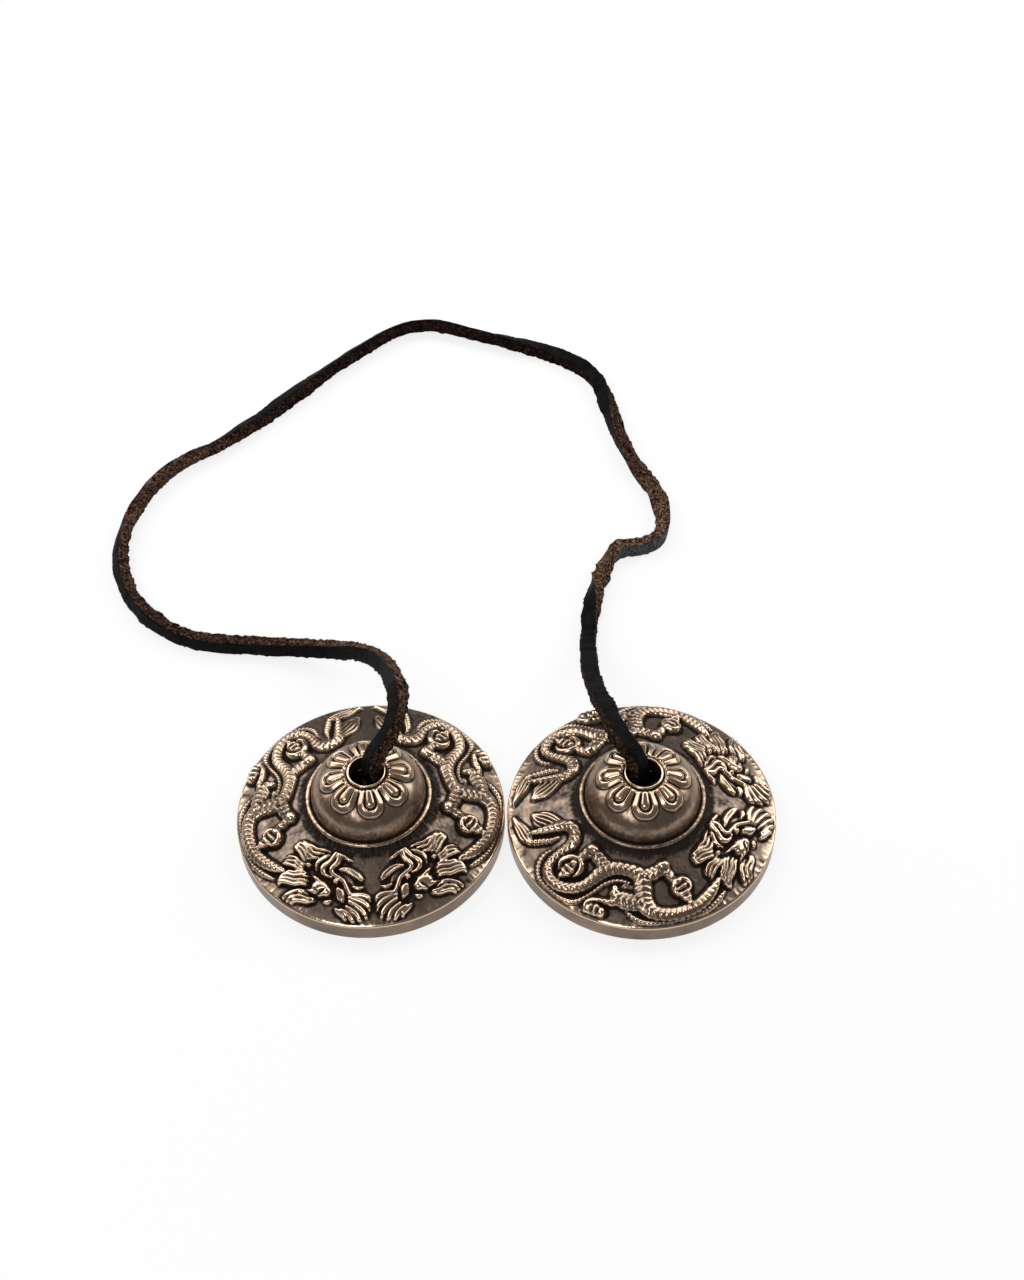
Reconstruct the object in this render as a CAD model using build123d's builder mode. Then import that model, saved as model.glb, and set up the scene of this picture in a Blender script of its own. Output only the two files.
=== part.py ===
"""Tingsha: a pair of cast bronze hand cymbals tied to the two ends of one leather thong.

The pair lies on a table, rims down and nearly touching, with the thong looped out behind.
Frame: X along the pair, Y towards the loop, Z up, origin on the table midway between the cymbals.
"""
import os
from math import cos, pi, radians, sin, sqrt, tan

from build123d import *

os.makedirs("parts", exist_ok=True)

# Casting, in millimetres
cymbal_diameter = 65.0
cymbal_height = 22.0
rim_gap = 0.6             # between the two rims as they lie
rim_height = 5.2          # turned side wall
rim_edge_fillet = 0.5
foot_width = 4.0          # flat land that the casting stands on
plate_rise = 5.9          # from the rim's edge up to the collar
plate_thickness = 4.2     # measured upright
bore_diameter = 8.0
bore_length = 4.2         # thickness of metal at the crown
lip_width = 0.8           # raised edge round the bore
lip_height = 0.6

# Boss at the middle of the casting
collar_radius = 16.3      # where the plate meets the collar
collar_height = 1.7       # from the plate up to the ridge
collar_slant = 1.3        # how far the collar's wall leans in
ridge_width = 0.8         # thin ridge round the dome's foot
ridge_height = 0.6
ridge_groove = 0.4        # between the ridge and the dome's foot
dome_fullness = 2.4       # 2 is an ellipse; more gives the dome a fuller shoulder
dome_wall = 4.8           # from the dome's foot in to the hollow that holds the knot
hollow_chamfer = 2.0
petal_count = 8
petal_height = 0.6
petal_start = 0.4         # plain metal between the bore's lip and the petals
petal_margin = 2.5        # plain metal between the petals and the dome's foot
petal_width = 6.0
petal_taper = 60.0        # base angle of a petal's narrowing root, degrees

# Dragon relief on the plate
relief_height = 1.1
relief_root = 0.5         # how far the relief is sunk for a sound joint
relief_margin = 0.8       # plain edge left at the rim
body_width = 2.6
belly_width = 1.4
leg_width = 1.9
foot_radius = 2.1
jaw_width = 1.1
whisker_width = 1.2
eye_radius = 0.9
horn_radius = 1.1
lobe_radius = 0.45        # rounding of the mane's locks, the cheek and the tail fins
left_heads = -85.0        # direction in which the two heads meet, degrees from +X
right_heads = 1.0
heads_apart = 1.0         # from that direction to where each dragon's degrees start

# Thong and its knots
thong_diameter = 4.0
thong_rise = 3.5          # how far it stands straight out of the bore
thong_lean = 0.7          # share of the room in the bore that it leans into
knot_width = 10.6
knot_height = 8.0
knot_land = 8.0           # flat on top, against the crown
knot_tail = 2.6           # cut end that stands out under the knot
knot_clearance = 0.3
bend_share = 0.45         # of the shorter run beside it that each bend takes up

# Values that follow from these
rim_radius = cymbal_diameter / 2
bore_radius = bore_diameter / 2
thong_radius = thong_diameter / 2
pair_offset = rim_radius + rim_gap / 2
slope = plate_rise / (rim_radius - collar_radius)
foot_inner = rim_radius - foot_width
lip_radius = bore_radius + lip_width
ridge_outer = collar_radius - collar_slant
ridge_inner = ridge_outer - ridge_width
ridge_top = rim_height + plate_rise + collar_height
dome_foot = ridge_top - ridge_height
dome_radius = ridge_inner - ridge_groove
hollow_radius = dome_radius - dome_wall
dome_shoulder = 0.8 * dome_radius
petal_inner = lip_radius + petal_start
petal_outer = dome_radius - petal_margin
crown = cymbal_height - lip_height
ceiling = cymbal_height - bore_length
knot_top = ceiling - knot_clearance
knot_bottom = knot_top - knot_height
band_outer = rim_radius - relief_margin
lean = thong_lean * (bore_radius - thong_radius) / sqrt(2)


def face_height(radius):
    """Height of the plate's upper face at a distance from the bore's axis."""
    return rim_height + (rim_radius - radius) * slope


def dome_height(radius):
    """Height of the dome, from its foot up to the crown."""
    share = 1 - (radius / dome_radius) ** dome_fullness
    return dome_foot + (crown - dome_foot) * share ** (1 / dome_fullness)


def on_band(turn, share):
    """Point on the plate: degrees from the heads, share of the way from the collar to the rim."""
    radius = collar_radius + share * (band_outer - collar_radius)
    angle = radians(turn + heads_apart)
    return (radius * cos(angle), radius * sin(angle))


def bend_radii(points):
    """Radii for a line's bends, each as large as the runs beside it allow."""
    places = [Vector(*point) for point in points]
    runs = [after - before for before, after in zip(places, places[1:])]
    radii = []
    for before, after in zip(runs, runs[1:]):
        shorter = min(before.length, after.length)
        radii.append(bend_share * shorter / tan(radians(before.get_angle(after)) / 2))
    return radii


# One dragon as lines of (degrees from the heads, share of the band); the other is its mirror image
dragon_body = [
    (49, 0.69), (60, 0.82), (74, 0.91), (85, 0.85), (89, 0.70), (89, 0.44), (91, 0.26), (104, 0.23), (114, 0.33),
    (120, 0.56), (126, 0.77), (136, 0.88), (143, 0.78), (144, 0.50), (144, 0.26), (150, 0.15), (157, 0.20),
    (160, 0.40),
]
haunch = [(90, 0.71), (99, 0.68), (105, 0.58)]
belly_bands = [
    [(51, 0.87), (60, 0.96), (80, 0.97), (91, 0.96), (98, 0.83)],
    [(114, 0.62), (120, 0.86), (130, 0.97), (142, 0.95), (149, 0.78), (149, 0.58)],
]
legs = [
    [(87, 0.28), (76, 0.20), (74, 0.38), (70, 0.60)],
    [(117, 0.26), (129, 0.17), (132, 0.38), (134, 0.60)],
    [(102, 0.68), (108, 0.77), (112, 0.90)],
]
jaws = [
    [(7, 0.66), (13, 0.56), (17, 0.44), (25, 0.39), (23, 0.24), (25, 0.12)],
    [(22, 0.47), (29, 0.44), (29, 0.31), (26, 0.20)],
    [(34, 0.46), (34, 0.32), (30, 0.20)],
    [(5, 0.43), (10, 0.31), (19, 0.29)],
    [(14, 0.16), (18, 0.13), (22, 0.10)],
]
whiskers = [
    [(10, 0.65), (4, 0.68), (1, 0.77)],
    [(11, 0.71), (6, 0.78), (3, 0.90)],
    [(15, 0.82), (10, 0.88), (7, 0.94)],
]
eye = (19.5, 0.51)
horn = (15, 0.70)
cheek = [(22, 0.60), (23, 0.74), (28, 0.78), (31, 0.68), (31, 0.55), (25, 0.53)]
mane_locks = [
    [(27.5, 0.84), (35, 0.91), (39, 0.98), (42, 0.96), (41, 0.86), (36, 0.80)],
    [(35.5, 0.63), (40, 0.78), (46, 0.88), (48.5, 0.80), (47, 0.68), (38, 0.52)],
    [(40.5, 0.53), (46, 0.60), (53, 0.62), (54, 0.52), (49, 0.45), (42, 0.44)],
    [(41, 0.41), (50, 0.385), (56.5, 0.31), (55, 0.23), (46, 0.20), (37, 0.20)],
]
tail_fins = [
    [(160, 0.60), (160, 0.84), (168, 0.92), (176, 0.95), (172, 0.77), (166, 0.68)],
    [(160, 0.24), (165, 0.27), (170, 0.40), (175, 0.70), (168, 0.64), (163, 0.50)],
]
strokes = [(dragon_body, body_width), (haunch, body_width)]
strokes += [(line, belly_width) for line in belly_bands]
strokes += [(line, leg_width) for line in legs]
strokes += [(line, jaw_width) for line in jaws]
strokes += [(line, whisker_width) for line in whiskers]

with BuildPart() as dragons:
    with BuildSketch():
        for line, width in strokes:
            points = [on_band(*point) for point in line]
            with BuildLine():
                path = FilletPolyline(*points, radius=bend_radii(points))
            trace(path, line_width=width)
            with Locations(points[0], points[-1]):
                Circle(width / 2)
        for outline in mane_locks + tail_fins + [cheek]:
            with BuildLine():
                FilletPolyline(*[on_band(*point) for point in outline], radius=lobe_radius, close=True)
            make_face()
        with Locations(*[on_band(*line[-1]) for line in legs]):
            Circle(foot_radius)
        with Locations(on_band(*eye)):
            Circle(eye_radius)
        with Locations(on_band(*horn)):
            Circle(horn_radius)
        mirror(about=Plane.XZ)
    extrude(amount=cymbal_height)
    with BuildSketch(Plane.XZ):
        with BuildLine():
            Polyline(
                (collar_radius, face_height(collar_radius) - relief_root),
                (band_outer, face_height(band_outer) - relief_root),
                (band_outer, face_height(band_outer) + relief_height),
                (collar_radius, face_height(collar_radius) + relief_height),
                close=True,
            )
        make_face()
    revolve(axis=Axis.Z, mode=Mode.INTERSECT)

# Lotus petals: lobes that follow the dome and stand a little proud of it
petal_end = petal_outer - petal_width / 2
petal_middle = (petal_inner + petal_outer) / 2
with BuildPart() as petals:
    with BuildSketch():
        with PolarLocations(petal_end, petal_count):
            Circle(petal_width / 2)
        with PolarLocations((petal_inner + petal_end) / 2, petal_count):
            Trapezoid(petal_width, petal_end - petal_inner, petal_taper, rotation=90)
    extrude(amount=cymbal_height)
    with BuildSketch(Plane.XZ):
        with BuildLine():
            ThreePointArc(
                (petal_inner, dome_height(petal_inner) + petal_height),
                (petal_middle, dome_height(petal_middle) + petal_height),
                (petal_outer, dome_height(petal_outer) + petal_height),
            )
            Polyline(
                (petal_outer, dome_height(petal_outer) + petal_height),
                (petal_outer, dome_height(petal_outer) - petal_height),
                (petal_inner, dome_height(petal_outer) - petal_height),
                (petal_inner, dome_height(petal_inner) + petal_height),
            )
        make_face()
    revolve(axis=Axis.Z, mode=Mode.INTERSECT)

# The casting: a turned bowl with a hollow boss and a bore, both heads towards +X
with BuildPart() as casting:
    with BuildSketch(Plane.XZ):
        with BuildLine():
            ThreePointArc(
                (lip_radius, dome_height(lip_radius)),
                (dome_shoulder, dome_height(dome_shoulder)),
                (dome_radius, dome_foot),
            )
            Polyline(
                (dome_radius, dome_foot),
                (ridge_inner, dome_foot),
                (ridge_inner, ridge_top),
                (ridge_outer, ridge_top),
                (collar_radius, face_height(collar_radius)),
                (rim_radius, rim_height),
                (rim_radius, 0),
                (foot_inner, 0),
                (foot_inner, face_height(foot_inner) - plate_thickness),
                (hollow_radius, face_height(hollow_radius) - plate_thickness),
                (hollow_radius, ceiling - hollow_chamfer),
                (hollow_radius - hollow_chamfer, ceiling),
                (bore_radius, ceiling),
                (bore_radius, cymbal_height),
                (lip_radius, cymbal_height),
                (lip_radius, dome_height(lip_radius)),
            )
        make_face()
    revolve(axis=Axis.Z)
    rim_edges = casting.edges().filter_by(GeomType.CIRCLE).group_by(SortBy.RADIUS)[-1]
    fillet(rim_edges, radius=rim_edge_fillet)
    add(petals.part)
    add(dragons.part)

# The knot, drawn up under the crown, with the thong's cut end below it
with BuildPart() as knot:
    with BuildSketch(Plane.XZ):
        with BuildLine():
            Polyline((0, knot_bottom - knot_tail), (0, knot_top), (knot_land / 2, knot_top))
            ThreePointArc(
                (knot_land / 2, knot_top),
                (knot_width / 2, (knot_top + knot_bottom) / 2),
                (thong_radius, knot_bottom),
            )
            Polyline(
                (thong_radius, knot_bottom),
                (thong_radius, knot_bottom - knot_tail),
                (0, knot_bottom - knot_tail),
            )
        make_face()
    revolve(axis=Axis.Z)

# Both cymbals and both knots, side by side
for side, centre, heads in (("left", -pair_offset, left_heads), ("right", pair_offset, right_heads)):
    with BuildPart() as cymbal:
        with Locations((centre, 0, 0)):
            add(casting.part, rotation=(0, 0, heads))
    cymbal.part.label = f"cymbal_{side}"
    export_step(cymbal.part, f"parts/cymbal_{side}.step")

    with BuildPart() as tied_end:
        with Locations((centre, 0, 0)):
            add(knot.part)
    tied_end.part.label = f"knot_{side}"
    export_step(tied_end.part, f"parts/knot_{side}.step")

# The thong's route, from the left knot up through the bore, round the loop and down to the right knot
left_end = [(lean - pair_offset, lean, height) for height in (knot_top, cymbal_height + thong_rise)]
right_end = [(pair_offset - lean, lean, height) for height in (cymbal_height + thong_rise, knot_top)]
left_rise = [
    (-27.4, 4.2, 29.3), (-24.8, 13.3, 31.0), (-27.7, 26.4, 26.5), (-35.2, 41.5, 15.5), (-46.4, 50.5, 5.0),
    (-63.1, 53.8, 2.0),
]
loop = [
    (-84.2, 55.0, 2.0), (-99.9, 66.0, 2.0), (-108.0, 84.8, 2.0), (-105.4, 104.6, 2.0), (-96.4, 120.2, 2.0),
    (-81.9, 129.1, 2.0), (-63.9, 149.5, 2.0), (-47.3, 167.1, 2.0), (-30.3, 181.6, 2.0), (-8.9, 173.4, 2.0),
    (13.9, 166.2, 2.0), (24.3, 157.2, 2.0), (28.3, 138.2, 2.0), (34.2, 119.6, 2.0), (40.7, 109.8, 2.0),
    (42.1, 94.5, 2.0), (35.8, 88.8, 2.0), (27.9, 89.3, 2.0), (22.6, 75.0, 2.0),
]
right_rise = [
    (20.5, 59.6, 3.0), (20.2, 44.8, 9.0), (21.3, 29.5, 17.0), (24.1, 17.3, 24.5), (27.1, 5.6, 28.3),
]
route = left_end + left_rise + loop + right_rise + right_end
radii = bend_radii(route)


def halfway(first, second):
    """Point midway along a run, where the run is straight."""
    return tuple((a + b) / 2 for a, b in zip(first, second))


def thong(label, points, bends):
    """One stretch of the thong: a round tube along straight runs and tangent arcs."""
    with BuildPart() as stretch:
        with BuildLine() as way:
            if bends:
                FilletPolyline(*points, radius=bends)
            else:
                Line(*points)
        path = way.wire()
        with BuildSketch(Plane(origin=path @ 0, z_dir=path % 0)):
            Circle(thong_radius)
        sweep(path=path)
    stretch.part.label = label
    export_step(stretch.part, f"parts/{label}.step")
    expected = pi * thong_radius ** 2 * path.length
    print(f"{label}: length {path.length:.1f}, volume / (section x length) {stretch.part.volume / expected:.4f}")


# Stretches between the bores' mouths and the middles of two runs on the table
first_loop = len(left_end) + len(left_rise)
last_loop = first_loop + len(loop)
left_mouth = (lean - pair_offset, lean, cymbal_height)
right_mouth = (pair_offset - lean, lean, cymbal_height)
left_landing = halfway(route[first_loop - 1], route[first_loop])
right_landing = halfway(route[last_loop - 1], route[last_loop])
thong("thong_left_end", [route[0], left_mouth], [])
thong("thong_left_rise", [left_mouth] + route[1:first_loop] + [left_landing], radii[: first_loop - 1])
thong("thong_loop", [left_landing] + loop + [right_landing], radii[first_loop - 1 : last_loop - 1])
thong("thong_right_rise", [right_landing] + route[last_loop:-1] + [right_mouth], radii[last_loop - 1 :])
thong("thong_right_end", [right_mouth, route[-1]], [])
print("bend radii", [round(radius, 1) for radius in radii])
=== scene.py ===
import math

import bpy
import numpy as np
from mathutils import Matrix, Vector


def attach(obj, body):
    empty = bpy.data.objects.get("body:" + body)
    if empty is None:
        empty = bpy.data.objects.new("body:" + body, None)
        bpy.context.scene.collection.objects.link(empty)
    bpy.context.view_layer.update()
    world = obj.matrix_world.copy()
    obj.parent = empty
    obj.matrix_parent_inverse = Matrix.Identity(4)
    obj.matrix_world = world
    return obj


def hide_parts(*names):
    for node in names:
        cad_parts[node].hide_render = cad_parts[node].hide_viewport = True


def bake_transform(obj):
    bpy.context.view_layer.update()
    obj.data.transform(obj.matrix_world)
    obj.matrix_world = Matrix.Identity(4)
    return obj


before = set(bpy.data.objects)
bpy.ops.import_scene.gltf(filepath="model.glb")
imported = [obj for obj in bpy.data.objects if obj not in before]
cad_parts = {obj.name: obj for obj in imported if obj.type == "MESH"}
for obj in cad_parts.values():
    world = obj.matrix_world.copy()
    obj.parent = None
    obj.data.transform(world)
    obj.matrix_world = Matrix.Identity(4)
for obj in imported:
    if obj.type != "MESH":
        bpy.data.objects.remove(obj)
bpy.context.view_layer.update()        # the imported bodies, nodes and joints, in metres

# The two castings
# Bell bronze cast in sand from one pattern: a turned rim, a plate with a pair of dragons in relief, and a
# boss with eight lotus petals round the bore. Dark wax stays in the hollows, and what stands up is polished;
# painted shade deepens the hollows and corners, and painted highlights brighten the crests.
mm = 0.001
pair_offset = 32.8
left_heads = -85.0       # direction in which the two heads meet, degrees from +X
right_heads = 1.0
heads_apart = 1.0        # from that direction to where each dragon's degrees start
rim_radius = 32.5
rim_height = 5.2
foot_width = 4.0
plate_rise = 5.9
plate_thickness = 4.2
collar_radius = 16.3
dome_radius = 13.8
dome_foot = 12.2
dome_fullness = 2.4      # 2 would be an ellipse; more gives the boss a fuller shoulder
crown = 21.4
casting_top = 22.0
ceiling = 17.8
hollow_radius = 9.0
hollow_chamfer = 2.0
bore_radius = 4.0
lip_radius = 4.65
petal_count = 8
petal_start = 4.9
petal_end = 11.3
petal_half = math.radians(21.6)
petal_corner = 0.32      # rounding of a petal's end, in radians at its own radius
groove_half = 0.20       # the groove inside a petal's rim, and the tongue in it, in radians too
tongue_half = 0.155
ring_radius = 14.64      # middle of the raised ring round the boss's foot
ring_half = 0.58
ring_base = 12.30
ring_rise = 0.55
upper_edge = 0.35        # rounding of the rim, above and at the foot
lower_edge = 0.5
band_inner = 15.8        # where the dragons' shares of the band start, just under the collar
band_width = 15.9
fine_turns = 720         # facets round the relief
turns = 360              # facets round the rest
band_rows = 84
slope = plate_rise / (rim_radius - collar_radius)


def soften(field, passes):
    """Evens a field out: wrapped round the casting, held at its inner and outer edges."""
    for _ in range(passes):
        field = (np.roll(field, 1, 1) + 2 * field + np.roll(field, -1, 1)) / 4
        edged = np.concatenate([field[:1], field, field[-1:]])
        field = (edged[:-2] + 2 * edged[1:-1] + edged[2:]) / 4
    return field


def mottle(dice, shape, passes):
    """Seeded soft noise with a spread of one."""
    field = soften(dice.standard_normal(shape), passes)
    return field / field.std()


def ease(low, high, value):
    """Smooth step from 0 at low to 1 at high."""
    share = np.clip((value - low) / (high - low), 0, 1)
    return share * share * (3 - 2 * share)


def flowing(points, steps=6):
    """Smooth line through given points of (degrees, share of the band, width), in millimetres."""
    turn, share, width = np.array(points, float).T
    radius = band_inner + share * band_width
    turn = np.radians(turn + heads_apart)
    line = np.stack([radius * np.cos(turn), radius * np.sin(turn), width], 1)
    ends = np.concatenate([2 * line[:1] - line[1:2], line, 2 * line[-1:] - line[-2:-1]])
    share = np.linspace(0, 1, steps, endpoint=False)[:, None]
    spans = []
    for before, start, stop, after in zip(ends, ends[1:], ends[2:], ends[3:]):
        bend = 2 * before - 5 * start + 4 * stop - after
        swing = 3 * start - before - 3 * stop + after
        spans.append(start + 0.5 * share * (stop - before + share * (bend + share * swing)))
    return np.concatenate(spans + [line[-1:]])


def follow(line, places):
    """Each place's distance to one side of a line, its way along it, and half the width there."""
    runs = np.diff(line[:, :2], axis=0)
    lengths = np.hypot(*runs.T)
    nearest = np.full(len(places), 1e9)
    side = np.zeros(len(places))
    along = np.zeros(len(places))
    width = np.zeros(len(places))
    passed = 0.0
    for start, run, length, stop in zip(line, runs, lengths, line[1:]):
        offset = places - start[:2]
        share = np.clip(offset @ run / length ** 2, 0, 1)
        distance = np.hypot(*(offset - share[:, None] * run).T)
        nearer = distance < nearest
        nearest[nearer] = distance[nearer]
        turned = np.sign(run[0] * offset[:, 1] - run[1] * offset[:, 0])
        side[nearer] = (turned * distance)[nearer]
        along[nearer] = (passed + share * length)[nearer]
        width[nearer] = (start[2] + share * (stop[2] - start[2]))[nearer]
        passed += length
    return side, along, np.maximum(width, 0.05) / 2


class Relief:
    """Height of one dragon over the plate, on a half circle of rows and turns; the other is its mirror."""

    def __init__(self):
        self.turn = np.radians(np.linspace(0, 180, fine_turns // 2 + 1))
        self.radius = np.linspace(collar_radius, rim_radius - 0.55, band_rows)
        radius, turn = np.meshgrid(self.radius, self.turn, indexing="ij")
        self.places = np.stack([(radius * np.cos(turn)).ravel(), (radius * np.sin(turn)).ravel()], 1)
        self.height = np.zeros(len(self.places))

    def profile(self, points, flat):
        """Where a line reaches, its rounded top, the places along and across it, and half its width."""
        line = flowing(points)
        reach = line[:, 2].max() / 2
        low, high = line[:, :2].min(0) - reach, line[:, :2].max(0) + reach
        near = np.all((self.places > low) & (self.places < high), axis=1)
        side, along, half = follow(line, self.places[near])
        across = side / half
        return near, np.clip(1 - np.abs(across) ** flat, 0, 1) ** 0.5, along, across, half

    def lay(self, points, rise, flat=2, finish=None):
        """A rounded bead along a line, flatter on top where asked, with a finish on it."""
        near, top, along, across, half = self.profile(points, flat)
        bead = rise * np.minimum(1, 0.45 + half / 0.9) * top
        if finish is not None:
            bead = np.maximum(bead + finish(along, across) * ease(0, 0.6, top), 0)
        self.height[near] = np.maximum(self.height[near], bead)

    def cut(self, points, depth):
        """A groove along a line."""
        near, top, _, _, _ = self.profile(points, 2)
        self.height[near] = np.maximum(self.height[near] - depth * top, 0)


def scales(along, across):
    """Overlapping scales in V-shaped rows: each rises to its free edge and drops."""
    place = along / 1.35 + 0.50 * np.abs(across)
    return 0.62 * (place % 1) * (0.72 + 0.28 * np.cos(2 * np.pi * across)) - 0.40


def ribs(along, across):
    """Plates across a belly."""
    return 0.24 * np.cos(2 * np.pi * along / 0.95 + 0.8 * across) - 0.14


def creases(along, across):
    """Two or three folds across the ball of a foot."""
    return 0.28 * np.cos(2 * np.pi * along / 1.35 + 1.2 * across ** 2) - 0.18


def strands(count):
    """A finish of strands side by side, waving a little, with a narrow groove between."""
    def waving(along, across):
        return 0.6 * np.abs(np.sin(np.pi * count * (across + 1) / 2 + 0.4 * np.sin(along))) - 0.6
    return waving


dragon = Relief()

# Body and tail of the dragon, then its haunch, scaled all over
dragon.lay([
    (50, .69, 1.5), (55, .755, 2.6), (61, .825, 3.1), (67, .87, 3.2), (74, .885, 3.2), (80, .875, 3.3),
    (85, .84, 3.6), (88.5, .77, 4.2), (90.3, .67, 4.6), (90.8, .55, 4.6), (91, .44, 4.6), (92.5, .34, 4.2),
    (96, .28, 3.6), (102, .255, 3.3), (108, .265, 3.4), (113, .315, 3.7), (117, .41, 3.7), (119.5, .54, 3.2),
    (122, .66, 3.0), (126, .77, 2.9), (131, .845, 2.9), (136, .87, 2.9), (140, .845, 2.8), (142.8, .77, 2.7),
    (144, .67, 2.6), (144.2, .55, 2.7), (143.8, .43, 2.9), (143.7, .33, 3.2), (145.5, .235, 3.4),
    (149.5, .18, 3.2), (154, .18, 3.1), (157.8, .235, 3.0), (159.5, .32, 2.8), (160.8, .42, 2.4),
    (162, .54, 2.1), (163, .66, 1.5), (163.7, .77, 0.8),
], 1.75, flat=3, finish=scales)
dragon.lay([
    (88, .72, 3.2), (95, .70, 4.1), (101, .68, 4.1), (105, .63, 3.3), (106.3, .54, 1.6),
], 1.65, flat=3, finish=scales)

# Ribbed belly bands that run beside the body along the rim
dragon.lay([(51, .87, 0.8), (54, .90, 1.4), (57, .93, 1.5), (64, .98, 1.5), (72, .995, 1.5), (82, .995, 1.5),
            (90, .97, 1.5), (95, .91, 1.4), (98.5, .83, 0.8)], 0.9, finish=ribs)
dragon.lay([(99, .43, 0.8), (105, .425, 1.1), (110, .475, 1.2), (113.5, .56, 1.2), (117, .72, 1.3),
            (120.5, .87, 1.4), (124, .955, 1.5), (130, .99, 1.5), (137, .99, 1.5), (142, .965, 1.5),
            (146, .895, 1.5), (148.5, .80, 1.5), (149.5, .70, 1.4), (149, .57, 0.7)], 0.85, finish=ribs)

# Legs, each with a knobbed knee and claws closed round a ball
for leg in ([(92, .33, 3.2), (86, .30, 3.5), (81, .26, 3.2), (77.5, .22, 3.0)],
            [(76.5, .25, 2.7), (74.5, .34, 2.6), (73.2, .42, 2.3), (72, .48, 1.8)],
            [(115, .30, 3.4), (121, .25, 3.4), (127, .20, 3.3)],
            [(131, .23, 3.1), (132.3, .33, 2.6), (133.2, .42, 2.1)],
            [(103, .70, 2.6), (107, .755, 2.0), (111, .765, 1.6), (113.5, .775, 1.5)]):
    dragon.lay(leg, 1.6, flat=3, finish=scales)
for knee in ([(76, .20, 3.0), (77.6, .205, 3.0)], [(128, .17, 2.9), (130.5, .175, 2.9)]):
    dragon.lay(knee, 2.0)
for foot in ([(71, .48, 2.6), (69.8, .57, 3.8), (69.2, .66, 3.4), (68.6, .75, 2.2), (68.5, .82, 0.7)],
             [(133.3, .50, 2.4), (133.6, .57, 3.6), (134, .65, 3.4), (134.6, .73, 1.8), (134.8, .77, 0.6)],
             [(109.6, .92, 2.6), (112.5, .925, 3.8), (115.2, .94, 3.0)]):
    dragon.lay(foot, 1.9, flat=4, finish=creases)
for claw in ([(71.5, .44, 1.3), (68, .445, 1.7), (65.6, .49, 1.7), (64.8, .56, 1.3), (65.4, .63, 0.5)],
             [(72, .46, 1.4), (73.8, .52, 1.7), (74, .59, 1.6), (73, .66, 0.7)],
             [(132, .40, 1.6), (129.2, .44, 1.9), (127.9, .52, 1.7), (128.2, .59, 1.2), (129.3, .65, 0.5)],
             [(133.5, .40, 1.6), (137.2, .44, 1.9), (139.6, .53, 1.9), (139.5, .61, 1.4), (137.8, .69, 0.6)],
             [(112, .77, 1.4), (115.2, .80, 1.5), (117, .865, 1.4), (117, .93, 1.1), (116, .98, 0.5)]):
    dragon.lay(claw, 1.8)
for ball in ([(96.8, .49, 1.3), (97.4, .49, 1.3)], [(100.4, .49, 1.5), (101, .49, 1.5)]):
    dragon.lay(ball, 0.5)

# Head: snout folds, jaw, tooth, nose, cheek with two points, knob, eye and a bead; then the tongue
for fold, rise in (
    ([(9, .63, 0.7), (11.5, .585, 1.1), (13.8, .505, 1.3), (16, .44, 1.3), (20, .40, 1.2), (23.2, .378, 1.3),
      (25, .335, 1.5), (24.6, .28, 1.5), (23.2, .225, 1.5), (22.6, .17, 1.7), (23.4, .105, 1.6)], 1.5),
    ([(23, .435, 0.5), (26.5, .43, 1.0), (29.3, .40, 1.5), (30.5, .345, 1.9), (29.5, .285, 1.7),
      (27.8, .225, 1.5), (26.8, .16, 1.7), (26, .10, 1.5)], 1.5),
    ([(33.8, .42, 0.5), (35.2, .355, 1.1), (35.2, .30, 1.4), (33.8, .24, 1.4), (32, .19, 1.3),
      (30.4, .15, 0.7)], 1.4),
    ([(10.5, .45, 0.8), (13, .40, 1.4), (16, .355, 1.4), (20, .335, 0.8)], 0.5),
    ([(4.6, .505, 0.8), (7, .52, 1.3), (9.8, .50, 0.8)], 1.2),
    ([(12.5, .15, 0.5), (16, .13, 1.1), (19.5, .105, 1.1), (22, .075, 0.5)], 1.1),
    ([(14, .71, 1.3), (15, .67, 2.4), (16.2, .61, 2.6), (17.6, .565, 1.3)], 1.5),
    ([(23.2, .64, 2.6), (25.2, .63, 3.8), (27.5, .625, 3.9), (29, .625, 3.0)], 1.6),
    ([(28, .70, 1.4), (30.5, .705, 1.1), (33.5, .72, 0.4)], 1.4),
    ([(28, .555, 1.5), (31, .525, 1.2), (34.8, .50, 0.4)], 1.4),
    ([(20, .75, 0.9), (21.3, .775, 1.3), (22.8, .79, 0.8)], 1.0),
    ([(19.7, .47, 1.5), (20.1, .47, 1.5)], 1.9),
    ([(39.4, .41, 1.5), (39.8, .41, 1.5)], 1.7),
):
    dragon.lay(fold, rise, flat=2.5)
dragon.cut([(28, .745, 0.4), (26.8, .70, 0.8), (25.4, .65, 0.8), (24.6, .62, 0.3)], 0.6)
dragon.lay([(5.2, .395, 1.2), (7.5, .345, 1.9), (11, .305, 2.0), (15.5, .285, 1.7), (20.5, .295, 0.7)], 1.4,
           flat=3, finish=strands(2))

# Whiskers: leaves that sweep towards the rim
for leaf in ([(12, .615, 0.8), (8, .61, 1.3), (4, .615, 1.6), (1.2, .65, 1.3), (.4, .70, 0.5)],
             [(11.5, .66, 0.8), (7.5, .675, 1.5), (4, .71, 1.7), (1.6, .765, 1.4), (.8, .83, 0.5)],
             [(11, .71, 0.8), (7.5, .76, 1.5), (4.6, .82, 1.7), (2.8, .885, 1.3), (2.3, .94, 0.5)],
             [(12, .775, 0.8), (9.5, .825, 1.5), (7, .88, 1.7), (5.2, .95, 1.2)],
             [(14, .83, 0.8), (12, .865, 1.4), (9.6, .915, 1.5), (8, .975, 1.0)],
             [(16.5, .84, 0.9), (15, .87, 1.5), (12.8, .91, 1.4), (11.2, .965, 0.8)]):
    dragon.lay(leaf, 1.3, flat=2.5)

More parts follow.
